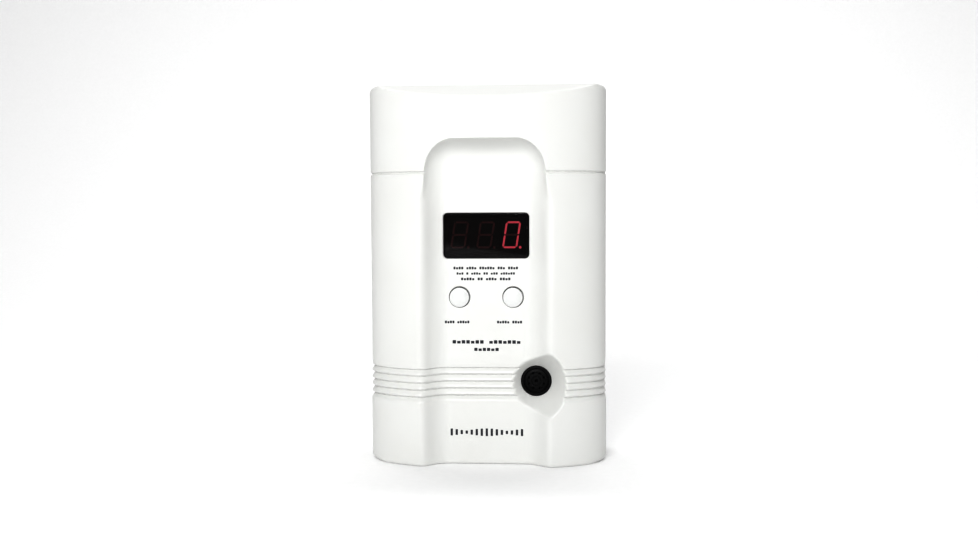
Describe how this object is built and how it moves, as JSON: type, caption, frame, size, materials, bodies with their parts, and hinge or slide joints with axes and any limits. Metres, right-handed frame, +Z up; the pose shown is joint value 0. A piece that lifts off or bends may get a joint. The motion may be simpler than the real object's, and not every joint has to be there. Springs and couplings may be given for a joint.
{
  "type": "carbon monoxide detector",
  "caption": "Plug-in wall or shelf carbon monoxide detector with a bowed front, arched panel, digital display, push buttons and horn funnel.",
  "frame": {"origin": "middle of the base, under the centre of the overall box (mains blades included)", "axes": "+Z up, -Y out of the front panel, +X to the right seen from the front"},
  "size_m": [0.092, 0.06, 0.146],
  "materials": {
    "white_abs": "fine matt grain",
    "button_abs": "satin",
    "smoked_lens": "gloss",
    "display_black": "matt",
    "segment_dark": "matt",
    "segment_lit": "matt, glowing",
    "plunger_plastic": "satin",
    "switch_plastic": "matt",
    "board": "satin solder mask",
    "resistor": "satin",
    "capacitor_sleeve": "gloss sleeve",
    "sensor_can": "satin",
    "gold_pin": "bright",
    "horn_black": "satin",
    "piezo_brass": "satin",
    "lead_pvc": "satin",
    "battery_jacket": "satin",
    "snap_vinyl": "matt",
    "inlet_nylon": "satin",
    "tinned_pin": "bright",
    "adapter_abs": "fine matt grain",
    "core_steel": "matt laminations",
    "winding_tape": "gloss tape",
    "adapter_board": "matt",
    "diode_black": "satin",
    "blade_metal": "satin",
    "screw_steel": "satin",
    "label_foil": "satin foil"
  },
  "bodies": {
    "case": {"front_cover": "white_abs", "rear_cover": "white_abs", "display_window": "smoked_lens", "led_display": "display_black", "digit_hundreds": "segment_dark", "digit_tens": "segment_dark", "digit_units": "segment_lit", "test_switch": "switch_plastic", "peak_switch": "switch_plastic", "main_board": "board", "microcontroller": "switch_plastic", "resistors": "resistor", "capacitors": "capacitor_sleeve", "voltage_regulator": "switch_plastic", "horn_coil": "switch_plastic", "co_sensor": "sensor_can", "sensor_pins": "gold_pin", "horn_housing": "horn_black", "piezo_disc": "piezo_brass", "horn_back": "horn_black", "horn_leads": "lead_pvc", "battery": "battery_jacket", "battery_snap": "snap_vinyl", "battery_leads": "lead_pvc", "power_inlet": "inlet_nylon", "inlet_pins": "tinned_pin", "case_screws": "screw_steel", "board_screws": "screw_steel", "rating_label": "label_foil"},
    "test_button": {"test_button": "button_abs", "test_plunger": "plunger_plastic"},
    "peak_button": {"peak_button": "button_abs", "peak_plunger": "plunger_plastic"},
    "battery_door": {"battery_door": "white_abs"},
    "adapter": {"adapter_case": "adapter_abs", "adapter_lid": "adapter_abs", "transformer_core": "core_steel", "transformer_winding": "winding_tape", "adapter_board": "adapter_board", "adapter_capacitor": "capacitor_sleeve", "adapter_diodes": "diode_black", "mains_blades": "blade_metal", "adapter_screws": "screw_steel"}
  },
  "joints": [
    {"name": "test_press", "type": "slide", "parent": "case", "child": "test_button", "axis": [0, 1, 0], "range_m": [0, 0.0005], "stiffness_N_per_m": 300},
    {"name": "peak_press", "type": "slide", "parent": "case", "child": "peak_button", "axis": [0, 1, 0], "range_m": [0, 0.0005], "stiffness_N_per_m": 300},
    {"name": "battery_door_hinge", "type": "hinge", "parent": "case", "child": "battery_door", "pos_m": [-0.0159, 0.0108, 0.0613], "axis": [1, 0, 0], "range_deg": [0, 95]},
    {"name": "adapter_pull", "type": "slide", "parent": "case", "child": "adapter", "axis": [0, 1, 0], "range_m": [0, 0.03]}
  ]
}
